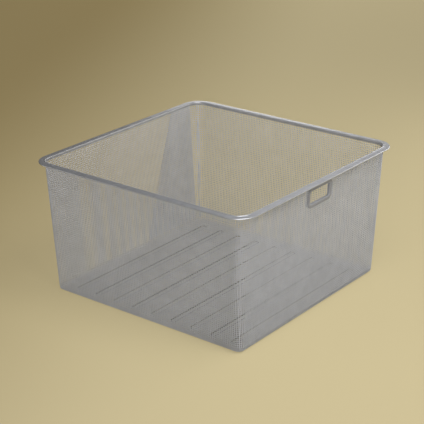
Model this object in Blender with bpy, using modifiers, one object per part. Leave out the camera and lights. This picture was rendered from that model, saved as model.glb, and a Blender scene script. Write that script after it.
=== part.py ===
"""Pull-out basket: a leaning tub of fine metal mesh hung in a roll-formed steel rim.

Metres, +Z up. The wall with the grip is the front and faces -Y. The origin lies on the surface
that the basket stands on, below the middle of the rim. The mesh is too fine to cut hole by hole,
so each mesh panel is a sheet of the mesh's own thickness with its true outline, bends and ribs.
"""
import math

import bmesh
import bpy

MM = 0.001

# Overall size of the basket, over the rim and from the ribs that it stands on
RIM_WIDTH = 500 * MM
RIM_DEPTH = 500 * MM
HEIGHT = 269 * MM

# Stock, and the gap left between pieces that touch
MESH_THICKNESS = 0.9 * MM
STEEL_THICKNESS = 0.8 * MM
GAP = 0.3 * MM

# Rim: a flat flange with a turned-down lip outside, and a raised bead and a leg inside
RIM_CORNER_RADIUS = 40 * MM
FLANGE_WIDTH = 14 * MM
LIP_DEPTH = 2 * MM
LIP_BEND_RADIUS = 1.2 * MM
BEAD_RADIUS = 1.3 * MM
BEAD_RISE = 0.9 * MM
LEG_DEPTH = 4.2 * MM

# Tub: how far the floor stands in from the rim, and the fold round the floor
FLOOR_INSET = 27 * MM
FOLD_RADIUS = 5 * MM
PAN_EDGE_HEIGHT = 8 * MM

# Ribs pressed down in the floor, all parallel to the front; the basket stands on them
RIB_COUNT = 9
RIB_WIDTH = 14 * MM
RIB_DEPTH = 2 * MM
RIB_FOOT_WIDTH = 9.4 * MM
RIB_END_MARGIN = 24 * MM
RIB_SIDE_MARGIN = 35 * MM

# Grip: the finger opening high in the front wall, and the pressed frame round it
GRIP_WIDTH = 63 * MM
GRIP_HEIGHT = 25.5 * MM
GRIP_CORNER_RADIUS = 4 * MM
GRIP_DROP = 17 * MM
BEZEL_BORDER = 7 * MM
BEZEL_BEND_RADIUS = 1.2 * MM
COLLAR_PROUD = 0.6 * MM

# Second mesh layers: each ends in a slanted edge
LINING_TOP_SETBACK = 60 * MM
LINING_SLANT_HEIGHT = 170 * MM
LAP_TOP_WIDTH = 62 * MM
LAP_FOOT_WIDTH = 160 * MM

# Cutter overrun past both faces of what it cuts
OVERRUN = 4 * MM

# Facets
CORNER_STEPS = 8
BEND_STEPS = 4
RIB_END_STEPS = 8

# Colours: linear base colour, metallic and roughness
STEEL_FINISH = ((0.42, 0.42, 0.43, 1.0), 0.75, 0.38)
MESH_FINISH = ((0.36, 0.36, 0.37, 1.0), 0.7, 0.45)
BEZEL_FINISH = ((0.33, 0.33, 0.34, 1.0), 0.7, 0.42)

# Heights above the flat of the floor, and insets, that follow from the sizes above
RIM_TOP = HEIGHT - RIB_DEPTH
FLANGE_MIDDLE = RIM_TOP - BEAD_RISE - STEEL_THICKNESS / 2
FLANGE_UNDERSIDE = FLANGE_MIDDLE - STEEL_THICKNESS / 2
LEG_BOTTOM = FLANGE_MIDDLE + STEEL_THICKNESS / 2 - LEG_DEPTH
WALL_TOP = FLANGE_UNDERSIDE - GAP
WALL_BOTTOM = PAN_EDGE_HEIGHT + GAP
TOP_INSET = FLANGE_WIDTH - STEEL_THICKNESS - GAP - MESH_THICKNESS
LEAN = math.atan2(FLOOR_INSET - TOP_INSET, LEG_BOTTOM)
FLAT_HALF_WIDTH = RIM_WIDTH / 2 - RIM_CORNER_RADIUS
FLAT_HALF_DEPTH = RIM_DEPTH / 2 - RIM_CORNER_RADIUS


def clear_scene():
    for item in list(bpy.data.objects):
        bpy.data.objects.remove(item, do_unlink=True)


def make_collection(name):
    collection = bpy.data.collections.new(name)
    bpy.context.scene.collection.children.link(collection)
    return collection


def make_material(name, finish):
    colour, metallic, roughness = finish
    material = bpy.data.materials.new(name)
    material.use_nodes = True
    shader = material.node_tree.nodes["Principled BSDF"]
    shader.inputs["Base Color"].default_value = colour
    shader.inputs["Metallic"].default_value = metallic
    shader.inputs["Roughness"].default_value = roughness
    material.diffuse_color = colour
    return material


def inset_at(height):
    """How far the tub's outer face stands in from the rim's outer edge at this height."""
    return FLOOR_INSET - height * math.tan(LEAN)


def up_the_wall(height):
    """The distance up a leaning wall's face that reaches this height."""
    return height / math.cos(LEAN)


def arc(centre, radius, start, end, steps):
    """Points on an arc; the angles are in degrees."""
    points = []
    for step in range(steps + 1):
        angle = math.radians(start + (end - start) * step / steps)
        points.append((centre[0] + radius * math.cos(angle), centre[1] + radius * math.sin(angle)))
    return points


def rounded_rectangle(half_x, half_y, radius, steps=CORNER_STEPS):
    """A rounded rectangle round the origin, anticlockwise."""
    across = half_x - radius
    along = half_y - radius
    points = arc((across, along), radius, 0, 90, steps)
    points += arc((-across, along), radius, 90, 180, steps)
    points += arc((-across, -along), radius, 180, 270, steps)
    points += arc((across, -along), radius, 270, 360, steps)
    return points


def rim_outline(inset):
    """The rounded rectangle that runs at one distance inside the rim's outer edge."""
    return rounded_rectangle(RIM_WIDTH / 2 - inset, RIM_DEPTH / 2 - inset, RIM_CORNER_RADIUS - inset)


def add_curve(name, outlines, collection, cyclic=True):
    """A flat curve object with one straight-sided spline for each outline."""
    curve = bpy.data.curves.new(name, "CURVE")
    curve.dimensions = "2D"
    for outline in outlines:
        spline = curve.splines.new("POLY")
        spline.points.add(len(outline) - 1)
        for point, (x, y) in zip(spline.points, outline):
            point.co = (x, y, 0, 1)
        spline.use_cyclic_u = cyclic
    item = bpy.data.objects.new(name, curve)
    collection.objects.link(item)
    return item


def curve_to_mesh(item):
    """Replace a curve object by its welded mesh under the same name."""
    bpy.context.view_layer.update()
    evaluated = item.evaluated_get(bpy.context.evaluated_depsgraph_get())
    mesh = bpy.data.meshes.new_from_object(evaluated)
    shape = bmesh.new()
    shape.from_mesh(mesh)
    bmesh.ops.remove_doubles(shape, verts=shape.verts, dist=GAP / 100)
    bmesh.ops.recalc_face_normals(shape, faces=shape.faces)
    shape.to_mesh(mesh)
    shape.free()
    name = item.name
    collection = item.users_collection[0]
    matrix = item.matrix_world.copy()
    bpy.data.objects.remove(item, do_unlink=True)
    result = bpy.data.objects.new(name, mesh)
    result.matrix_world = matrix
    collection.objects.link(result)
    return result


def add_plate(name, outlines, thickness, collection):
    """A flat plate with the outlines as its edge and holes, half its thickness each side of z 0."""
    item = add_curve(name, outlines, collection)
    item.data.fill_mode = "BOTH"
    item.data.extrude = thickness / 2
    return curve_to_mesh(item)


def add_formed_strip(name, path, profile, collection, guides):
    """Sheet steel formed to an open profile and carried round a closed anticlockwise path.

    The profile is the middle of the sheet: its first value runs outward from the path and its
    second runs up.
    """
    section = add_curve(name + "_section", [[(-out, up) for out, up in profile]], guides, cyclic=False)
    section.hide_render = True
    section.display_type = "WIRE"
    item = add_curve(name, [path], collection)
    item.data.bevel_mode = "OBJECT"
    item.data.bevel_object = section
    skin = item.modifiers.new("Sheet", "SOLIDIFY")
    skin.thickness = STEEL_THICKNESS
    skin.offset = 0
    skin.use_even_offset = True
    return item


def add_mesh_sheet(name, shape, collection):
    """A mesh panel from its outer face, thickened inward."""
    mesh = bpy.data.meshes.new(name)
    shape.to_mesh(mesh)
    shape.free()
    item = bpy.data.objects.new(name, mesh)
    collection.objects.link(item)
    skin = item.modifiers.new("Mesh", "SOLIDIFY")
    skin.thickness = MESH_THICKNESS
    skin.offset = -1
    skin.use_even_offset = True
    return item


def add_empty(name, location, rotation, collection):
    item = bpy.data.objects.new(name, None)
    item.location = location
    item.rotation_euler = rotation
    collection.objects.link(item)
    return item


def smooth(item):
    item.data.shade_smooth()
    item.data.set_sharp_from_angle(angle=math.radians(35))


def rim_profile():
    """The middle line of the rim's section, from the lip's foot over the bead to the leg's foot."""
    half = STEEL_THICKNESS / 2
    reach = FLANGE_WIDTH - STEEL_THICKNESS
    profile = [(0, half - LIP_DEPTH)]
    profile += arc((-LIP_BEND_RADIUS, -LIP_BEND_RADIUS), LIP_BEND_RADIUS, 0, 90, BEND_STEPS)
    foot = math.degrees(math.asin((BEAD_RADIUS - BEAD_RISE) / BEAD_RADIUS))
    bead = (BEAD_RADIUS - reach, BEAD_RISE - BEAD_RADIUS)
    profile += arc(bead, BEAD_RADIUS, foot, 90, BEND_STEPS)
    profile += arc(bead, BEAD_RADIUS, 90, 180, BEND_STEPS)[1:]
    profile.append((-reach, half - LEG_DEPTH))
    return profile


def make_rim(parts, guides):
    path = rim_outline(STEEL_THICKNESS / 2)
    rim = add_formed_strip("rim", path, rim_profile(), parts, guides)
    rim.location.z = FLANGE_MIDDLE
    return rim


def tub_section(height):
    """The tub's outer face in plan at this height."""
    return rim_outline(inset_at(height))


def fold_rings():
    """The rings of the floor pan's outer face, from the flat floor's edge up to the pan's edge."""
    turn = 90 - math.degrees(LEAN)
    fold_top = FOLD_RADIUS * (1 - math.cos(math.radians(turn)))
    flat_inset = inset_at(fold_top) + FOLD_RADIUS * math.sin(math.radians(turn))
    rings = []
    for step in range(BEND_STEPS + 1):
        angle = math.radians(turn * step / BEND_STEPS)
        outline = rim_outline(flat_inset - FOLD_RADIUS * math.sin(angle))
        rings.append((outline, FOLD_RADIUS * (1 - math.cos(angle))))
    rings.append((tub_section(PAN_EDGE_HEIGHT), PAN_EDGE_HEIGHT))
    return rings


def add_ring(shape, outline, height):
    return [shape.verts.new((x, y, height)) for x, y in outline]


def loft(shape, lower, upper, closed=True):
    """Faces between two rows of vertices, each seen from outside the tub."""
    count = len(lower)
    faces = []
    for i in range(count if closed else count - 1):
        j = (i + 1) % count
        faces.append(shape.faces.new((lower[i], lower[j], upper[j], upper[i])))
    return faces


def rib_outline(centre_y, half_length, half_width):
    """A long rib in plan: straight sides and round ends."""
    reach = half_length - half_width
    points = arc((reach, centre_y), half_width, -90, 90, RIB_END_STEPS)
    points += arc((-reach, centre_y), half_width, 90, 270, RIB_END_STEPS)
    return points


def rib_centres():
    reach = RIM_DEPTH / 2 - FLOOR_INSET - RIB_SIDE_MARGIN
    return [reach - 2 * reach * i / (RIB_COUNT - 1) for i in range(RIB_COUNT)]


def add_rib(shape, centre_y):
    """One pressed-down rib; returns the edges of its mouth, which stay open to the floor."""
    half_length = RIM_WIDTH / 2 - FLOOR_INSET - RIB_END_MARGIN
    mouth_half_width = RIB_WIDTH / 2
    flank = (RIB_WIDTH - RIB_FOOT_WIDTH) / 2
    rows = []
    for step in range(BEND_STEPS + 1):
        turn = math.pi * step / BEND_STEPS
        narrowing = flank * step / BEND_STEPS
        drop = RIB_DEPTH * (1 - math.cos(turn)) / 2
        outline = rib_outline(centre_y, half_length - narrowing, mouth_half_width - narrowing)
        rows.append(add_ring(shape, outline, -drop))
    for upper, lower in zip(rows, rows[1:]):
        loft(shape, lower, upper)
    shape.faces.new(list(reversed(rows[-1])))
    mouth = rows[0]
    return [shape.edges.get((mouth[i], mouth[(i + 1) % len(mouth)])) for i in range(len(mouth))]


def make_floor_pan(parts):
    shape = bmesh.new()
    rings = [add_ring(shape, outline, height) for outline, height in fold_rings()]
    for lower, upper in zip(rings, rings[1:]):
        loft(shape, lower, upper)
    rim = rings[0]
    outline_edges = [shape.edges.get((rim[i], rim[(i + 1) % len(rim)])) for i in range(len(rim))]
    for centre_y in rib_centres():
        outline_edges += add_rib(shape, centre_y)
    bmesh.ops.triangle_fill(shape, edges=outline_edges, use_beauty=True, normal=(0, 0, -1))
    bmesh.ops.recalc_face_normals(shape, faces=shape.faces)
    lowest = min(shape.faces, key=lambda face: face.calc_center_median().z)
    if lowest.normal.z > 0:
        bmesh.ops.reverse_faces(shape, faces=shape.faces)
    return add_mesh_sheet("floor_pan", shape, parts)


def wall_run(half_along, half_out, height):
    """One wall's outer face in plan, from the middle of one corner to the middle of the next.

    The cut end of the last facet leans into the corner's middle by half a facet's turn, so the run
    stops that much sooner, and the two walls' inner edges keep their gap.
    """
    radius = RIM_CORNER_RADIUS - inset_at(height)
    centre = (half_along - RIM_CORNER_RADIUS, half_out - RIM_CORNER_RADIUS)
    steps = CORNER_STEPS // 2
    end_lean = MESH_THICKNESS * math.sin(math.radians(45 / steps / 2))
    end = 45 - math.degrees((GAP / 2 + end_lean) / radius)
    right = arc((centre[0], -centre[1]), radius, -90, end - 90, steps)
    left = arc((-centre[0], -centre[1]), radius, -90 - end, -90, steps)
    return left + right


def make_wall(name, half_along, half_out, turn, parts):
    shape = bmesh.new()
    lower = add_ring(shape, wall_run(half_along, half_out, WALL_BOTTOM), WALL_BOTTOM)
    upper = add_ring(shape, wall_run(half_along, half_out, WALL_TOP), WALL_TOP)
    loft(shape, lower, upper, closed=False)
    wall = add_mesh_sheet(name, shape, parts)
    wall.rotation_euler.z = math.radians(turn)
    return wall


def grip_middle():
    """The height of the grip opening's middle, measured up the leaning wall."""
    return up_the_wall(RIM_TOP - GRIP_DROP) - GRIP_HEIGHT / 2


def grip_outline(border):
    """The grip opening grown by a border, in the front wall's own plane."""
    outline = rounded_rectangle(GRIP_WIDTH / 2 + border, GRIP_HEIGHT / 2 + border, GRIP_CORNER_RADIUS + border)
    return [(x, y + grip_middle()) for x, y in outline]


def mesh_hole_outline():
    """The hole in the mesh layers, which clears the bend between the bezel's border and collar."""
    return grip_outline(STEEL_THICKNESS / 2 + BEZEL_BEND_RADIUS)


def cut_grip(wall, plane, guides):
    """Cut the hole for the bezel's collar through the front wall."""
    outline = mesh_hole_outline()
    cutter = add_plate("grip_cutter", [outline], 2 * (MESH_THICKNESS + OVERRUN), guides)
    cutter.parent = plane
    cutter.hide_render = True
    cutter.display_type = "WIRE"
    cut = wall.modifiers.new("Grip", "BOOLEAN")
    cut.operation = "DIFFERENCE"
    cut.solver = "EXACT"
    cut.object = cutter


def second_layer_depth():
    """The middle of a second mesh layer, measured in from a wall's outer face."""
    return MESH_THICKNESS + GAP + MESH_THICKNESS / 2


def second_layer_top():
    """How far up the wall a second layer reaches: its inner edge ends just under the rim's leg."""
    inner_face = second_layer_depth() + MESH_THICKNESS / 2
    return up_the_wall(LEG_BOTTOM - GAP) - inner_face * math.tan(LEAN)


def make_front_lining(plane, parts):
    """The front wall's second layer, from its slanted left edge to the right-hand corner."""
    foot = up_the_wall(WALL_BOTTOM)
    top = second_layer_top()
    outline = [
        (-FLAT_HALF_WIDTH, foot),
        (FLAT_HALF_WIDTH, foot),
        (FLAT_HALF_WIDTH, top),
        (LINING_TOP_SETBACK - FLAT_HALF_WIDTH, top),
        (-FLAT_HALF_WIDTH, top - LINING_SLANT_HEIGHT),
    ]
    lining = add_plate("front_lining", [outline, mesh_hole_outline()], MESH_THICKNESS, parts)
    lining.parent = plane
    lining.location.z = -second_layer_depth()
    return lining


def make_rear_lap(plane, parts):
    """The rear wall's second layer beside the right-hand corner, wider at its foot."""
    foot = up_the_wall(WALL_BOTTOM)
    top = second_layer_top()
    outline = [
        (-FLAT_HALF_WIDTH, foot),
        (LAP_FOOT_WIDTH - FLAT_HALF_WIDTH, foot),
        (LAP_TOP_WIDTH - FLAT_HALF_WIDTH, top),
        (-FLAT_HALF_WIDTH, top),
    ]
    lap = add_plate("rear_lap", [outline], MESH_THICKNESS, parts)
    lap.parent = plane
    lap.location.z = -second_layer_depth()
    return lap


def grip_path():
    """The middle of the collar's sheet, round the grip opening."""
    return grip_outline(STEEL_THICKNESS / 2)


def collar_end():
    """How far the collar reaches in from the wall's outer face."""
    layers = 2 * MESH_THICKNESS + STEEL_THICKNESS
    return layers + 2 * GAP + COLLAR_PROUD


def make_grip_bezel(plane, parts, guides):
    """The pressed frame: a flat border outside the wall and a collar through it."""
    half = STEEL_THICKNESS / 2
    face = GAP + half
    profile = [(BEZEL_BORDER - half, face)]
    bend = (BEZEL_BEND_RADIUS, face - BEZEL_BEND_RADIUS)
    profile += arc(bend, BEZEL_BEND_RADIUS, 90, 180, BEND_STEPS)
    profile.append((0, -collar_end()))
    bezel = add_formed_strip("grip_bezel", grip_path(), profile, parts, guides)
    bezel.parent = plane
    return bezel


def make_grip_backing(plane, parts):
    """The flat ring inside the wall that the collar is pressed through."""
    outer = grip_outline(BEZEL_BORDER)
    inner = grip_outline(STEEL_THICKNESS + GAP)
    backing = add_plate("grip_backing", [outer, inner], STEEL_THICKNESS, parts)
    backing.parent = plane
    backing.location.z = -(2 * MESH_THICKNESS + 2 * GAP + STEEL_THICKNESS / 2)
    return backing


def wall_plane(name, facing, guides):
    """An empty at the foot of a leaning wall's outer face: its Y runs up the wall, its Z outward."""
    out = -facing * (RIM_DEPTH / 2 - FLOOR_INSET)
    turn = 0 if facing > 0 else math.pi
    return add_empty(name, (0, out, 0), (math.pi / 2 + LEAN, 0, turn), guides)


def stand_on_ribs():
    """Raise everything, which is built round the flat of the floor, by the depth of the ribs."""
    for item in bpy.data.objects:
        if item.parent is None:
            item.location.z += RIB_DEPTH


def build():
    clear_scene()
    parts = make_collection("metal_mesh_basket")
    guides = make_collection("cutters")
    front_plane = wall_plane("front_plane", 1, guides)
    rear_plane = wall_plane("rear_plane", -1, guides)

    half_width = RIM_WIDTH / 2
    half_depth = RIM_DEPTH / 2
    front_wall = make_wall("front_wall", half_width, half_depth, 0, parts)
    mesh_panels = [
        make_floor_pan(parts),
        front_wall,
        make_wall("right_wall", half_depth, half_width, 90, parts),
        make_wall("rear_wall", half_width, half_depth, 180, parts),
        make_wall("left_wall", half_depth, half_width, 270, parts),
        make_front_lining(front_plane, parts),
        make_rear_lap(rear_plane, parts),
    ]
    cut_grip(front_wall, front_plane, guides)
    rim = make_rim(parts, guides)
    bezel = make_grip_bezel(front_plane, parts, guides)
    backing = make_grip_backing(front_plane, parts)

    for panel in mesh_panels:
        panel.data.materials.append(make_material(panel.name + "_mesh", MESH_FINISH))
        smooth(panel)
    rim.data.materials.append(make_material("rim_steel", STEEL_FINISH))
    bezel.data.materials.append(make_material("grip_bezel_steel", BEZEL_FINISH))
    backing.data.materials.append(make_material("grip_backing_steel", BEZEL_FINISH))
    smooth(backing)
    stand_on_ribs()


build()
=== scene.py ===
import math

import bpy
import numpy as np
from mathutils import Matrix, Vector


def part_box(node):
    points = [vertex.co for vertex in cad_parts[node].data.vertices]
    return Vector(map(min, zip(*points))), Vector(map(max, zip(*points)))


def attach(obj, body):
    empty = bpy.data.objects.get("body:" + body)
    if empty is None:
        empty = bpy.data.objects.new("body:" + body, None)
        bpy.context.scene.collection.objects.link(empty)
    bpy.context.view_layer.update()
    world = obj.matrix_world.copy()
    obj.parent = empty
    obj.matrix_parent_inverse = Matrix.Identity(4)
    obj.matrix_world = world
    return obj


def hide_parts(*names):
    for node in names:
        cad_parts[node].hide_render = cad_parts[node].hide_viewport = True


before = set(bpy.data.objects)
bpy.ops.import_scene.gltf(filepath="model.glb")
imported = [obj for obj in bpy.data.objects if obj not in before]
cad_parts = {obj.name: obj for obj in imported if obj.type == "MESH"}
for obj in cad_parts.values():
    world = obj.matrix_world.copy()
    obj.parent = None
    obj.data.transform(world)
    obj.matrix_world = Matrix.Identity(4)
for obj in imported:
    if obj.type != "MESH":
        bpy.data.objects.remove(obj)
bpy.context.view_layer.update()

MM = 0.001

# Sizes read from the frame
rim_low, rim_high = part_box("rim")
pan_low, pan_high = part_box("floor_pan")
wall_low, wall_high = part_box("left_wall")
HALF_WIDTH = rim_high.x
HALF_DEPTH = rim_high.y
HEIGHT = rim_high.z
LEG_BOTTOM = rim_low.z
PAN_TOP = pan_high.z
WALL_BOTTOM = wall_low.z
WALL_TOP = wall_high.z
LEAN_RISE = (pan_low.x - wall_low.x) / (WALL_TOP - PAN_TOP)
FOOT_INSET = HALF_WIDTH + pan_low.x + LEAN_RISE * PAN_TOP
LEAN = math.atan(LEAN_RISE)

# Stock and the gap between pieces that touch
STEEL_THICKNESS = 0.8 * MM
MESH_THICKNESS = 0.9 * MM
GAP = 0.3 * MM

# Rim section
RIM_CORNER_RADIUS = 40 * MM
FLANGE_WIDTH = 14 * MM
LIP_DEPTH = 2 * MM
LIP_BEND_RADIUS = 1.2 * MM
BEAD_RADIUS = 1.3 * MM
BEAD_RISE = 0.9 * MM
LEG_DEPTH = 4.2 * MM

# Floor
FOLD_RADIUS = 5 * MM
RIB_COUNT = 9
RIB_WIDTH = 14 * MM
RIB_DEPTH = 2 * MM
RIB_FOOT_WIDTH = 9.4 * MM
RIB_END_MARGIN = 24 * MM
RIB_SIDE_MARGIN = 35 * MM

# Grip
GRIP_WIDTH = 63 * MM
GRIP_HEIGHT = 25.5 * MM
GRIP_CORNER_RADIUS = 4 * MM
GRIP_DROP = 17 * MM
BEZEL_BORDER = 7 * MM
BEZEL_BEND_RADIUS = 1.2 * MM
COLLAR_PROUD = 0.6 * MM

# Second mesh layers, which end under the rim's inner leg
LINING_TOP_SETBACK = 60 * MM
LINING_SLANT_HEIGHT = 170 * MM
LAP_TOP_WIDTH = 62 * MM
LAP_FOOT_WIDTH = 160 * MM
SECOND_LAYER_TOP = LEG_BOTTOM - GAP

# How deep the middle of each mesh layer lies under the outer face
FIRST_LAYER = MESH_THICKNESS / 2
SECOND_LAYER = FIRST_LAYER + MESH_THICKNESS + GAP

# Wires: the front wall's lining is of thinner wire, the floor's two meshes are twice as fine
WIRE_PITCH = 4.167 * MM
WIRE_RADIUS = 0.56 * MM
LINING_WIRE_RADIUS = 0.12 * MM
FLOOR_WIRE_PITCH = WIRE_PITCH / 2
FLOOR_WIRE_RADIUS = WIRE_RADIUS / 2
WIRE_UNEVENNESS = 0.2 * MM
WIRE_SEED = 5
SHORTEST_WIRE = WIRE_PITCH / 2
SHORTEST_STEP = 0.1 * MM
SEAM_LAP = 1.5 * MM

# Facets; a wire has an even number of sides
WALL_WIRE_SIDES = 6
FLOOR_WIRE_SIDES = 4
CORNER_STEPS = 6
HEM_STEPS = 12
BEND_STEPS = 6
FLANK_STEPS = 2
RIM_CORNER_STEPS = 24
SHARP_ANGLE = math.radians(65)

# The steel sheet's edges: how far their rounding reaches to each side of straight on, in degrees
EDGE_ROUNDING = 45
EDGE_STEPS = 2

# Looks of the grey coat: display grey, metallic and roughness
MESH_LOOK = (186, 0.35, 0.5)
RIM_LOOK = (176, 0.7, 0.4)
GRIP_LOOK = (150, 0.35, 0.45)

# The coat's mottling: how far its darker and paler tones, and its red, green and blue, lie off the grey
DARK_MOTTLE = -8
PALE_MOTTLE = 4
COOL_CAST = (-1, 0, 4)
MOTTLE_SCALE = 45
MOTTLE_DETAIL = 4
MOTTLE_SHARES = (0.3, 0.7)
ROUGHNESS_SPREAD = 0.04

# A rib's flank's painted shade: where on the ribs' depth it starts, is full, is still full and ends
FLANK_PAINTED_SHADE_SHARES = (0.02, 0.1, 0.9, 0.98)
# Painted shade: the dark grey that the colour on the ribs' flanks is multiplied by
FLANK_PAINTED_SHADE = (0.15, 0.15, 0.15, 1)
FULL_TONE = (1, 1, 1, 1)

# The stage, in metres: a paper floor that curves up into a backdrop
STAGE_REACH = 8.0
STAGE_CURVE = 1.2
STAGE_HEIGHT = 2.2
STAGE_STEPS = 96
STAGE_CURVE_STEPS = 12

# The paper's colours in display values, and where along the floor the shaded one starts and is full
PAPER_DISPLAY = (203, 189, 149)
SHADED_PAPER_DISPLAY = (157, 140, 99)
BOUNCE_DISPLAY = (188, 188, 188)
SHADE_DIRECTION = (-0.5, 1, 0)
SHADE_START = 0.0
SHADE_END = 1.05

# The share of the paper's look that doesn't depend on the lamps
PAPER_EVENNESS = 0.6

# Lights. Each softbox: its direction from the basket (degrees from +X toward +Y, and up), its
# distance, width and height in metres, and its power in watts
WORLD_STRENGTH = 0.1
SOFTBOXES = {
    "behind_camera_low": (220, 10, 4, 1.8, 1.2, 66),
    "left_low": (135, 10, 4, 1.8, 1.2, 18),
    "rear_right_low": (35, 8, 4, 1.0, 1.0, 16),
    "rear_right_high": (25, 30, 4, 1.2, 1.2, 3.9),
    "right_near": (335, 20, 1.4, 0.8, 0.8, 5.9),
    "top_near": (250, 60, 1.4, 0.8, 0.8, 15),
}

# The camera, from the perspective of the photograph's edges
CAMERA_AZIMUTH = math.radians(-51.826)
CAMERA_ELEVATION = math.radians(22.042)
CAMERA_ROLL = math.radians(-0.458)
CAMERA_DISTANCE = 2560.3 * MM
CAMERA_ACROSS = -10.6 * MM
CAMERA_UP = 134.9 * MM
CAMERA_SIGHT = 100.0
PICTURE_SIZE = 424
FOCAL_PIXELS = 1290.9
SENSOR_WIDTH = 36


# Outlines and leaning walls

def arc(centre, radius, start, end, steps):
    """Points on an arc; the angles are in degrees."""
    angles = np.radians(np.linspace(start, end, steps + 1))
    return [(centre[0] + radius * math.cos(a), centre[1] + radius * math.sin(a)) for a in angles]


def rounded_rectangle(half_x, half_y, radius, steps):
    """Points and outward directions round a rounded rectangle, anticlockwise."""
    spots = []
    for index, (sx, sy) in enumerate(((1, 1), (-1, 1), (-1, -1), (1, -1))):
        centre = (sx * (half_x - radius), sy * (half_y - radius))
        for angle in np.radians(np.linspace(90 * index, 90 * index + 90, steps + 1)):
            outward = (math.cos(angle), math.sin(angle))
            spots.append(((centre[0] + radius * outward[0], centre[1] + radius * outward[1]), outward))
    return spots


def inset_at(height):
    """How far the tub's outer face stands in from the rim's outer edge at this height."""
    return FOOT_INSET - height * LEAN_RISE


class Wall:
    """One leaning wall in its own terms: how far along it from its middle, and how high.

    Along runs to the right as seen from outside. The corners' arcs keep their centres at every
    height, so the flat part is a rectangle and the corners taper.
    """

    def __init__(self, half_along, half_out, turn):
        self.flat = half_along - RIM_CORNER_RADIUS
        self.out = half_out - RIM_CORNER_RADIUS
        self.turn = np.array(Matrix.Rotation(math.radians(turn), 3, "Z"))

    def radius_at(self, height, depth):
        """The corners' radius at this height, this deep under the outer face."""
        return RIM_CORNER_RADIUS - inset_at(height) - depth

    def reach_at(self, height, depth):
        """How far along the wall its mesh runs at this height: just past the corner's middle."""
        return self.flat + self.radius_at(height, depth) * math.pi / 4 + SEAM_LAP

    def place(self, along, height, depth):
        """Points at these places, this deep under the outer face, and the outward directions."""
        along, height = np.broadcast_arrays(np.asarray(along, float), np.asarray(height, float))
        radius = self.radius_at(height, depth)
        angle = np.sign(along) * np.maximum(np.abs(along) - self.flat, 0) / radius
        outward = np.stack([np.sin(angle), -np.cos(angle), np.zeros_like(angle)], axis=1)
        beside = np.clip(along, -self.flat, self.flat)
        centres = np.stack([beside, np.full_like(along, -self.out), height], axis=1)
        points = centres + outward * radius[:, None]
        return points @ self.turn.T, outward @ self.turn.T


front_face = Wall(HALF_WIDTH, HALF_DEPTH, 0)
right_face = Wall(HALF_DEPTH, HALF_WIDTH, 90)
rear_face = Wall(HALF_WIDTH, HALF_DEPTH, 180)
left_face = Wall(HALF_DEPTH, HALF_WIDTH, 270)


# Mesh building

unevenness = np.random.default_rng(WIRE_SEED)


def new_piece(name, node, vertices, quads, material):
    """A smooth-shaded piece of four-sided faces that stands for a CAD node."""
    mesh = bpy.data.meshes.new(name)
    mesh.vertices.add(len(vertices))
    mesh.vertices.foreach_set("co", np.asarray(vertices, np.float32).ravel())
    mesh.loops.add(quads.size)
    mesh.loops.foreach_set("vertex_index", quads.astype(np.int32).ravel())
    mesh.polygons.add(len(quads))
    mesh.polygons.foreach_set("loop_start", np.arange(0, quads.size, 4))
    mesh.update(calc_edges=True)
    mesh.validate()
    mesh.materials.append(material)
    mesh.shade_smooth()
    mesh.set_sharp_from_angle(angle=SHARP_ANGLE)
    piece = bpy.data.objects.new(name, mesh)
    bpy.context.scene.collection.objects.link(piece)
    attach(piece, "root")
    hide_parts(node)
    return piece


def unit(rows):
    return rows / np.linalg.norm(rows, axis=1, keepdims=True)


class Wires:
    """Collects wires, each a closed prism along a row of points."""

    def __init__(self, sides, radius):
        self.sides = sides
        self.radius = radius
        self.vertices = []
        self.quads = []
        self.pressed = []
        self.count = 0

    def add(self, points, beside, pressed=None):
        """Add a wire through these points.

        Beside are directions that stay off the wire's own. Pressed is how far down each point is
        pressed, as a share of the ribs' depth.
        """
        sides = self.sides
        if pressed is None:
            pressed = np.zeros(len(points))
        along = unit(np.gradient(points, axis=0))
        normal = unit(beside - along * np.sum(beside * along, axis=1, keepdims=True))
        across = np.cross(along, normal)
        turns = 2 * math.pi * (np.arange(sides) + 0.5) / sides
        outward = np.cos(turns)[:, None] * normal[:, None, :] + np.sin(turns)[:, None] * across[:, None, :]
        self.vertices.append((points[:, None, :] + self.radius * outward).reshape(-1, 3))
        self.pressed.append(np.repeat(pressed, sides))

        here = self.count + sides * np.arange(len(points) - 1)[:, None] + np.arange(sides)
        after = np.roll(here, -1, axis=1)
        self.quads.append(np.stack([here, after, after + sides, here + sides], axis=2).reshape(-1, 4))
        cap = np.array([[0, first, first + 1, first + 2] for first in range(1, sides - 1, 2)])
        self.quads.append(self.count + cap[:, ::-1])
        self.quads.append(self.count + sides * (len(points) - 1) + cap)
        self.count += sides * len(points)

    def finish(self, name, node, material):
        vertices = np.concatenate(self.vertices)
        piece = new_piece(name, node, vertices, np.concatenate(self.quads), material)
        pressed = piece.data.attributes.new("pressed", "FLOAT", "POINT")
        pressed.data.foreach_set("value", np.concatenate(self.pressed).astype(np.float32))


def lattice(low, high, pitch):
    """The places of the wires between two ends, each a little off its even place, as in real mesh."""
    places = pitch * np.arange(math.ceil(low / pitch), math.floor(high / pitch) + 1)
    return places + unevenness.uniform(-WIRE_UNEVENNESS, WIRE_UNEVENNESS, len(places))


def stretches(outlines, axis, value):
    """The parts inside the outlines of the line on which this coordinate has this value."""
    hits = []
    for outline in outlines:
        for start, end in zip(outline, outline[1:] + outline[:1]):
            if (start[axis] <= value) != (end[axis] <= value):
                share = (value - start[axis]) / (end[axis] - start[axis])
                hits.append(start[1 - axis] + share * (end[1 - axis] - start[1 - axis]))
    hits.sort()
    return [(a, b) for a, b in zip(hits[::2], hits[1::2]) if b - a > SHORTEST_WIRE]


# Mesh walls; their outlines are drawn in (along, height)

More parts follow.
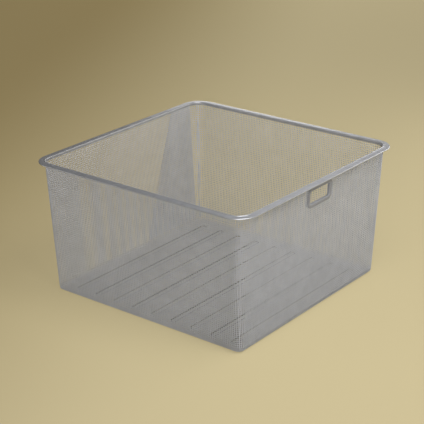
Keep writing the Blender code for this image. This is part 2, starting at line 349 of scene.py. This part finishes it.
def add_wires_up(wires, face, outlines, depth):
    alongs = [along for along, height in outlines[0]]
    for along in lattice(min(alongs), max(alongs), WIRE_PITCH):
        steps = 1 if abs(along) <= face.flat else CORNER_STEPS
        for low, high in stretches(outlines, 0, along):
            points, outward = face.place(along, np.linspace(low, high, steps + 1), depth)
            wires.add(points, outward)


def add_wires_along(wires, face, outlines, depth):
    heights = [height for along, height in outlines[0]]
    for height in lattice(min(heights), max(heights), WIRE_PITCH * math.cos(LEAN)):
        corner = np.linspace(face.flat, face.reach_at(height, depth), CORNER_STEPS + 1)
        for start, end in stretches(outlines, 1, height):
            first, last = start + SHORTEST_STEP, end - SHORTEST_STEP
            bends = [spot for spot in (*-corner, *corner) if first < spot < last]
            points, outward = face.place(np.array(sorted([start, end, *bends])), height, depth)
            wires.add(points, outward)


def add_hems(wires, face, depth):
    """A wire along each edge of the mesh at the wall's corners."""
    rise = np.linspace(WALL_BOTTOM, WALL_TOP, HEM_STEPS + 1)
    for side in (-1, 1):
        points, outward = face.place(side * face.reach_at(rise, depth), rise, depth)
        wires.add(points, outward)


def weave(name, node, face, outlines, depth, material, radius=WIRE_RADIUS, hemmed=False):
    """A mesh of wires up and along a wall, cut to the outlines."""
    wires = Wires(WALL_WIRE_SIDES, radius)
    add_wires_up(wires, face, outlines, depth)
    add_wires_along(wires, face, outlines, depth)
    if hemmed:
        add_hems(wires, face, depth)
    wires.finish(name, node, material)


def wall_outline(face):
    bottom = face.reach_at(WALL_BOTTOM, FIRST_LAYER)
    top = face.reach_at(WALL_TOP, FIRST_LAYER)
    return [(-bottom, WALL_BOTTOM), (bottom, WALL_BOTTOM), (top, WALL_TOP), (-top, WALL_TOP)]


def hole_outline():
    """The hole in the mesh for the grip."""
    border = STEEL_THICKNESS / 2 + BEZEL_BEND_RADIUS
    middle = HEIGHT - GRIP_DROP - GRIP_HEIGHT / 2 * math.cos(LEAN)
    half_x, half_y = GRIP_WIDTH / 2 + border, GRIP_HEIGHT / 2 + border
    spots = rounded_rectangle(half_x, half_y, GRIP_CORNER_RADIUS + border, BEND_STEPS)
    return [(x, middle + up * math.cos(LEAN)) for (x, up), outward in spots]


def lining_outline():
    """The front wall's second layer, from its slanted left edge to the right-hand corner."""
    flat = front_face.flat
    return [
        (-flat, WALL_BOTTOM),
        (flat, WALL_BOTTOM),
        (flat, SECOND_LAYER_TOP),
        (LINING_TOP_SETBACK - flat, SECOND_LAYER_TOP),
        (-flat, SECOND_LAYER_TOP - LINING_SLANT_HEIGHT),
    ]


def lap_outline():
    """The rear wall's second layer, wider at its foot; seen from outside it lies on the left."""
    flat = rear_face.flat
    return [
        (-flat, WALL_BOTTOM),
        (LAP_FOOT_WIDTH - flat, WALL_BOTTOM),
        (LAP_TOP_WIDTH - flat, SECOND_LAYER_TOP),
        (-flat, SECOND_LAYER_TOP),
    ]


def make_walls(metal):
    plain_walls = (("right", right_face, True), ("rear", rear_face, True), ("left", left_face, False))
    for side, face, hemmed in plain_walls:
        outlines = [wall_outline(face)]
        weave(side + "_mesh", side + "_wall", face, outlines, FIRST_LAYER, metal, hemmed=hemmed)
    hole = hole_outline()
    front = [wall_outline(front_face), hole]
    weave("front_mesh", "front_wall", front_face, front, FIRST_LAYER, metal)
    lining = [lining_outline(), hole]
    weave("front_lining_mesh", "front_lining", front_face, lining, SECOND_LAYER, metal, LINING_WIRE_RADIUS)
    weave("rear_lap_mesh", "rear_lap", rear_face, [lap_outline()], SECOND_LAYER, metal)


# Mesh floor

RIB_REACH = HALF_WIDTH - inset_at(RIB_DEPTH) - RIB_END_MARGIN - RIB_WIDTH / 2
RIB_OUTERMOST = HALF_DEPTH - inset_at(RIB_DEPTH) - RIB_SIDE_MARGIN
RIB_CENTRES = np.linspace(-RIB_OUTERMOST, RIB_OUTERMOST, RIB_COUNT)


def rib_drop(x, y):
    """How far the floor is pressed down at these places."""
    nearest = RIB_CENTRES[np.argmin(np.abs(y[:, None] - RIB_CENTRES), axis=1)]
    away = np.hypot(np.maximum(np.abs(x) - RIB_REACH, 0), y - nearest)
    flank = (RIB_WIDTH - RIB_FOOT_WIDTH) / 2
    share = np.clip((RIB_WIDTH / 2 - away) / flank, 0, 1)
    return RIB_DEPTH * (1 - np.cos(math.pi * share)) / 2


def rib_stations(across, over_ribs):
    """Where a floor wire needs a point, because it crosses a line of equal height on a rib's flank."""
    stations = []
    for away in np.linspace(RIB_FOOT_WIDTH / 2, RIB_WIDTH / 2, FLANK_STEPS + 1):
        if over_ribs:
            past = max(abs(across) - RIB_REACH, 0)
            if past < away:
                offset = math.sqrt(away ** 2 - past ** 2)
                stations += [centre + side * offset for centre in RIB_CENTRES for side in (-1, 1)]
        else:
            beside = np.min(np.abs(across - RIB_CENTRES))
            if beside < away:
                end = RIB_REACH + math.sqrt(away ** 2 - beside ** 2)
                stations += [-end, end]
    return stations


def edge_reach(across, half_across, half_along, inset):
    """How far a floor wire runs before it meets the outline at this inset, if it does."""
    radius = RIM_CORNER_RADIUS - inset
    past = max(abs(across) - (half_across - RIM_CORNER_RADIUS), 0)
    if past >= radius:
        return None
    return half_along - RIM_CORNER_RADIUS + math.sqrt(radius ** 2 - past ** 2)


def fold_rings(depth):
    """(inset, height) up the fold round the floor, whose flat lies on top of the ribs' depth."""
    radius = FOLD_RADIUS - depth
    turn = math.pi / 2 - LEAN
    centre = RIB_DEPTH + FOLD_RADIUS
    foot = inset_at(centre - FOLD_RADIUS * math.cos(turn)) + FOLD_RADIUS * math.sin(turn)
    angles = np.linspace(0, turn, BEND_STEPS + 1)
    rings = [(foot - radius * math.sin(a), centre - radius * math.cos(a)) for a in angles]
    return rings + [(inset_at(PAN_TOP) + depth, PAN_TOP)]


def add_floor_wire(wires, across, over_ribs, depth):
    """A wire at this distance from the middle line, over the ribs or beside them."""
    half_across, half_along = (HALF_WIDTH, HALF_DEPTH) if over_ribs else (HALF_DEPTH, HALF_WIDTH)
    edge = []
    for inset, height in fold_rings(depth):
        reach = edge_reach(across, half_across, half_along, inset)
        if reach is not None:
            edge.append((reach, height))
    if len(edge) < 2:
        return
    flat_reach, flat_height = edge[0]
    stations = np.array(sorted(s for s in rib_stations(across, over_ribs) if abs(s) < flat_reach))
    steady = np.full(len(stations), across)
    drops = rib_drop(steady, stations) if over_ribs else rib_drop(stations, steady)
    flat = list(zip(stations, flat_height - drops))
    profile = np.array([(-reach, height) for reach, height in reversed(edge)] + flat + edge)
    points = np.empty((len(profile), 3))
    points[:, 0 if over_ribs else 1] = across
    points[:, 1 if over_ribs else 0] = profile[:, 0]
    points[:, 2] = profile[:, 1]
    beside = np.tile((1.0, 0.0, 0.0) if over_ribs else (0.0, 1.0, 0.0), (len(profile), 1))
    unpressed = np.zeros(len(edge))
    wires.add(points, beside, np.concatenate([unpressed, drops / RIB_DEPTH, unpressed]))


def make_floor(metal):
    """The floor is two meshes pressed as one, so both layers stand for the same node."""
    for name, depth in (("floor_mesh", FIRST_LAYER), ("floor_upper_mesh", SECOND_LAYER)):
        wires = Wires(FLOOR_WIRE_SIDES, FLOOR_WIRE_RADIUS)
        for over_ribs, reach in ((False, HALF_DEPTH), (True, HALF_WIDTH)):
            for across in lattice(-reach, reach, FLOOR_WIRE_PITCH):
                add_floor_wire(wires, across, over_ribs, depth)
        wires.finish(name, "floor_pan", metal)


# Rim and grip frame: formed sheet carried round a closed path

def rounded_end(point, direction):
    """Points round a sheet's edge beyond this end, anticlockwise."""
    angle = math.degrees(math.atan2(direction[1], direction[0]))
    return arc(point, STEEL_THICKNESS / 2, angle - EDGE_ROUNDING, angle + EDGE_ROUNDING, EDGE_STEPS)


def thicken(line):
    """The closed outline, anticlockwise, of a steel sheet whose middle is this line."""
    points = np.array(line, float)
    steps = unit(np.diff(points, axis=0))
    before = np.vstack([steps[:1], steps])
    after = np.vstack([steps, steps[-1:]])
    along = unit(before + after)
    normal = np.stack([-along[:, 1], along[:, 0]], axis=1)
    bend = np.sum(along * before, axis=1, keepdims=True)
    offset = STEEL_THICKNESS / 2 / bend * normal
    start = rounded_end(points[0], -steps[0])
    end = rounded_end(points[-1], steps[-1])
    return np.vstack([points - offset, end, (points + offset)[::-1], start])


def sweep(name, node, rings, material):
    """Quads between closed rings of points, the last joined to the first."""
    rings = np.array(rings)
    count, size, _ = rings.shape
    here = np.arange(size)[None, :] + size * np.arange(count)[:, None]
    ahead = np.roll(here, -1, axis=0)
    quads = np.stack([here, ahead, np.roll(ahead, -1, axis=1), np.roll(here, -1, axis=1)], axis=2)
    new_piece(name, node, rings.reshape(-1, 3), quads.reshape(-1, 4), material)


def rim_line():
    """The middle of the rim's sheet, in (out, up) from the outer edge and the flange's middle."""
    half = STEEL_THICKNESS / 2
    reach = FLANGE_WIDTH - STEEL_THICKNESS
    line = [(0.0, half - LIP_DEPTH)]
    line += arc((-LIP_BEND_RADIUS, -LIP_BEND_RADIUS), LIP_BEND_RADIUS, 0, 90, BEND_STEPS)
    bead_foot = math.degrees(math.asin((BEAD_RADIUS - BEAD_RISE) / BEAD_RADIUS))
    line += arc((BEAD_RADIUS - reach, BEAD_RISE - BEAD_RADIUS), BEAD_RADIUS, bead_foot, 180, 2 * BEND_STEPS)
    line.append((-reach, half - LEG_DEPTH))
    return line


def make_rim(metal):
    half = STEEL_THICKNESS / 2
    middle = HEIGHT - BEAD_RISE - half
    section = thicken(rim_line())
    half_x, half_y = HALF_WIDTH - half, HALF_DEPTH - half
    spots = rounded_rectangle(half_x, half_y, RIM_CORNER_RADIUS - half, RIM_CORNER_STEPS)
    rings = []
    for (x, y), (ox, oy) in spots:
        rings.append([(x + out * ox, y + out * oy, middle + up) for out, up in section])
    sweep("rim_steel", "rim", rings, metal)


def grip_point(x, up, out):
    """A place at the grip: across and up the wall from the opening's middle, and out of the wall."""
    rise = up + (HEIGHT - GRIP_DROP) / math.cos(LEAN) - GRIP_HEIGHT / 2
    y = FOOT_INSET - HALF_DEPTH - rise * math.sin(LEAN) - out * math.cos(LEAN)
    return (x, y, rise * math.cos(LEAN) - out * math.sin(LEAN))


def sweep_grip(name, node, line, metal):
    """Carry a sheet round the grip opening; its line is in (grown from the opening, out of the wall)."""
    section = thicken(line)
    spots = rounded_rectangle(GRIP_WIDTH / 2, GRIP_HEIGHT / 2, GRIP_CORNER_RADIUS, 2 * BEND_STEPS)
    rings = []
    for (x, up), (ox, oy) in spots:
        rings.append([grip_point(x + grown * ox, up + grown * oy, out) for grown, out in section])
    sweep(name, node, rings, metal)


def make_grip(metal):
    half = STEEL_THICKNESS / 2
    face = GAP + half
    inner_face = -2 * (MESH_THICKNESS + GAP)
    frame_line = [(BEZEL_BORDER - half, face)]
    bend = (half + BEZEL_BEND_RADIUS, face - BEZEL_BEND_RADIUS)
    frame_line += arc(bend, BEZEL_BEND_RADIUS, 90, 180, BEND_STEPS)
    frame_line.append((half, inner_face - STEEL_THICKNESS - COLLAR_PROUD))
    sweep_grip("grip_frame", "grip_bezel", frame_line, metal)
    back = inner_face - half
    ring_line = [(BEZEL_BORDER - half, back), (STEEL_THICKNESS + GAP + half, back)]
    sweep_grip("grip_ring", "grip_backing", ring_line, metal)


# Materials

def srgb(*values):
    """Linear colour from 0 to 255 display values."""
    linear = []
    for value in values:
        share = value / 255
        linear.append(share / 12.92 if share <= 0.04045 else ((share + 0.055) / 1.055) ** 2.4)
    return (*linear, 1.0)


def colour_ramp(nodes, stops):
    """A ramp through these (share, colour) stops, in rising order."""
    ramp = nodes.new("ShaderNodeValToRGB")
    elements = ramp.color_ramp.elements
    elements[0].position, elements[0].color = stops[0]
    elements[1].position, elements[1].color = stops[-1]
    for share, colour in stops[1:-1]:
        elements.new(share).color = colour
    return ramp


def coat_tone(display_grey):
    return srgb(*(display_grey + cast for cast in COOL_CAST))


def grey_metal(name, display_grey, metallic, roughness):
    """Satin grey powder coat over steel: faint mottling in tone and in roughness."""
    material = bpy.data.materials.new(name)
    material.use_nodes = True
    nodes, links = material.node_tree.nodes, material.node_tree.links
    shader = nodes["Principled BSDF"]
    shader.inputs["Metallic"].default_value = metallic
    place = nodes.new("ShaderNodeTexCoord")
    mottle = nodes.new("ShaderNodeTexNoise")
    mottle.inputs["Scale"].default_value = MOTTLE_SCALE
    mottle.inputs["Detail"].default_value = MOTTLE_DETAIL
    links.new(place.outputs["Object"], mottle.inputs["Vector"])
    tones = (coat_tone(display_grey + DARK_MOTTLE), coat_tone(display_grey + PALE_MOTTLE))
    tone = colour_ramp(nodes, list(zip(MOTTLE_SHARES, tones)))
    links.new(mottle.outputs["Fac"], tone.inputs["Fac"])
    links.new(tone.outputs["Color"], shader.inputs["Base Color"])
    grain = nodes.new("ShaderNodeMapRange")
    grain.inputs["To Min"].default_value = roughness - ROUGHNESS_SPREAD
    grain.inputs["To Max"].default_value = roughness + ROUGHNESS_SPREAD
    links.new(mottle.outputs["Fac"], grain.inputs["Value"])
    links.new(grain.outputs["Result"], shader.inputs["Roughness"])
    return material


def metal_with_painted_rib_shade(name, look):
    """A grey metal with painted shade: its colour is darkened on the ribs' flanks to stand in for the shade
    there.
    """
    material = grey_metal(name, *look)
    nodes, links = material.node_tree.nodes, material.node_tree.links
    pressed = nodes.new("ShaderNodeAttribute")
    pressed.attribute_name = "pressed"
    # The painted shade mask: dark grey on the ribs' flanks, full tone on the flats
    tones = (FULL_TONE, FLANK_PAINTED_SHADE, FLANK_PAINTED_SHADE, FULL_TONE)
    flank = colour_ramp(nodes, list(zip(FLANK_PAINTED_SHADE_SHARES, tones)))
    links.new(pressed.outputs["Fac"], flank.inputs["Fac"])
    # Multiply the coat's colour by the painted shade
    blend = nodes.new("ShaderNodeMix")
    blend.data_type = "RGBA"
    blend.blend_type = "MULTIPLY"
    blend.inputs["Factor"].default_value = 1
    base = nodes["Principled BSDF"].inputs["Base Color"]
    links.new(base.links[0].from_socket, blend.inputs["A"])
    links.new(flank.outputs["Color"], blend.inputs["B"])
    links.new(blend.outputs["Result"], base)
    return material


def paper_tone(nodes, links):
    """The paper's colour, softly shaded far behind the basket."""
    place = nodes.new("ShaderNodeTexCoord")
    behind = nodes.new("ShaderNodeVectorMath")
    behind.operation = "DOT_PRODUCT"
    behind.inputs[1].default_value = SHADE_DIRECTION
    links.new(place.outputs["Object"], behind.inputs[0])
    shade = nodes.new("ShaderNodeMapRange")
    shade.interpolation_type = "SMOOTHSTEP"
    shade.inputs["From Min"].default_value = SHADE_START
    shade.inputs["From Max"].default_value = SHADE_END
    links.new(behind.outputs["Value"], shade.inputs["Value"])
    tone = colour_ramp(nodes, [(0, srgb(*PAPER_DISPLAY)), (1, srgb(*SHADED_PAPER_DISPLAY))])
    links.new(shade.outputs["Result"], tone.inputs["Fac"])
    return tone.outputs["Color"]


def seen_rays(nodes, links):
    """1 on rays by which the paper is seen: directly, mirrored or through something clear."""
    path = nodes.new("ShaderNodeLightPath")
    seen = path.outputs["Is Camera Ray"]
    for kind in ("Is Glossy Ray", "Is Transmission Ray"):
        either = nodes.new("ShaderNodeMath")
        either.operation = "MAXIMUM"
        links.new(seen, either.inputs[0])
        links.new(path.outputs[kind], either.inputs[1])
        seen = either.outputs["Value"]
    return seen


def mixed(nodes, links, share, first, second):
    """A mix of two shaders; the share of the second is a number or a node's output."""
    mix = nodes.new("ShaderNodeMixShader")
    if isinstance(share, float):
        mix.inputs["Fac"].default_value = share
    else:
        links.new(share, mix.inputs["Fac"])
    links.new(first, mix.inputs[1])
    links.new(second, mix.inputs[2])
    return mix.outputs["Shader"]


def backdrop_material():
    """Pale warm paper where it is seen; the light that it sends back is neutral."""
    material = bpy.data.materials.new("backdrop")
    material.use_nodes = True
    nodes, links = material.node_tree.nodes, material.node_tree.links
    nodes.remove(nodes["Principled BSDF"])
    tone = paper_tone(nodes, links)
    lit = nodes.new("ShaderNodeBsdfDiffuse")
    even = nodes.new("ShaderNodeEmission")
    bounce = nodes.new("ShaderNodeBsdfDiffuse")
    links.new(tone, lit.inputs["Color"])
    links.new(tone, even.inputs["Color"])
    bounce.inputs["Color"].default_value = srgb(*BOUNCE_DISPLAY)
    paper = mixed(nodes, links, PAPER_EVENNESS, lit.outputs["BSDF"], even.outputs["Emission"])
    surface = mixed(nodes, links, seen_rays(nodes, links), bounce.outputs["BSDF"], paper)
    links.new(surface, nodes["Material Output"].inputs["Surface"])
    return material


# Stage, lights and camera

def make_stage():
    """A round paper floor that curves up into a low backdrop all round."""
    curve_centre = (STAGE_REACH - STAGE_CURVE, STAGE_CURVE)
    profile = arc(curve_centre, STAGE_CURVE, -90, 0, STAGE_CURVE_STEPS) + [(STAGE_REACH, STAGE_HEIGHT)]
    turns = np.linspace(0, 2 * math.pi, STAGE_STEPS, endpoint=False)
    vertices = [(out * math.cos(turn), out * math.sin(turn), up) for out, up in profile for turn in turns]
    faces = [tuple(range(STAGE_STEPS))]
    for ring in range(len(profile) - 1):
        for step in range(STAGE_STEPS):
            here = STAGE_STEPS * ring + step
            after = STAGE_STEPS * ring + (step + 1) % STAGE_STEPS
            faces.append((here, here + STAGE_STEPS, after + STAGE_STEPS, after))
    mesh = bpy.data.meshes.new("stage_floor")
    mesh.from_pydata(vertices, [], faces)
    mesh.materials.append(backdrop_material())
    mesh.shade_smooth()
    mesh.polygons[0].use_smooth = False
    floor = bpy.data.objects.new("stage_floor", mesh)
    bpy.context.scene.collection.objects.link(floor)


def make_world():
    world = bpy.data.worlds.new("studio")
    bpy.context.scene.world = world
    world.use_nodes = True
    light = world.node_tree.nodes["Background"]
    light.inputs["Color"].default_value = (1, 1, 1, 1)
    light.inputs["Strength"].default_value = WORLD_STRENGTH


def add_softbox(name, azimuth, elevation, distance, width, height, power):
    turn, rise = math.radians(azimuth), math.radians(elevation)
    direction = Vector((math.cos(turn) * math.cos(rise), math.sin(turn) * math.cos(rise), math.sin(rise)))
    data = bpy.data.lights.new(name, "AREA")
    data.shape = "RECTANGLE"
    data.size = width
    data.size_y = height
    data.energy = power
    light = bpy.data.objects.new(name, data)
    light.location = direction * distance
    light.rotation_euler = direction.to_track_quat("Z", "Y").to_euler()
    light.visible_camera = False
    bpy.context.scene.collection.objects.link(light)


def make_camera():
    a, e, roll = CAMERA_AZIMUTH, CAMERA_ELEVATION, CAMERA_ROLL
    back = Vector((math.sin(a) * math.cos(e), -math.cos(a) * math.cos(e), math.sin(e)))
    level = Vector((math.cos(a), math.sin(a), 0))
    upright = back.cross(level)
    right = math.cos(roll) * level + math.sin(roll) * upright
    top = math.cos(roll) * upright - math.sin(roll) * level
    data = bpy.data.cameras.new("camera")
    data.sensor_width = SENSOR_WIDTH
    data.lens = SENSOR_WIDTH * FOCAL_PIXELS / PICTURE_SIZE
    data.clip_end = CAMERA_SIGHT
    camera = bpy.data.objects.new("camera", data)
    place = right * CAMERA_ACROSS + top * CAMERA_UP + back * CAMERA_DISTANCE
    camera.matrix_world = Matrix.Translation(place) @ Matrix((right, top, back)).transposed().to_4x4()
    bpy.context.scene.collection.objects.link(camera)
    bpy.context.scene.camera = camera


def main():
    bpy.context.scene.view_settings.view_transform = "Standard"
    make_camera()
    make_world()
    for name, softbox in SOFTBOXES.items():
        add_softbox(name, *softbox)
    make_stage()
    make_walls(grey_metal("mesh_metal", *MESH_LOOK))
    make_floor(metal_with_painted_rib_shade("floor_metal", MESH_LOOK))
    make_rim(grey_metal("rim_metal", *RIM_LOOK))
    make_grip(grey_metal("grip_metal", *GRIP_LOOK))


main()
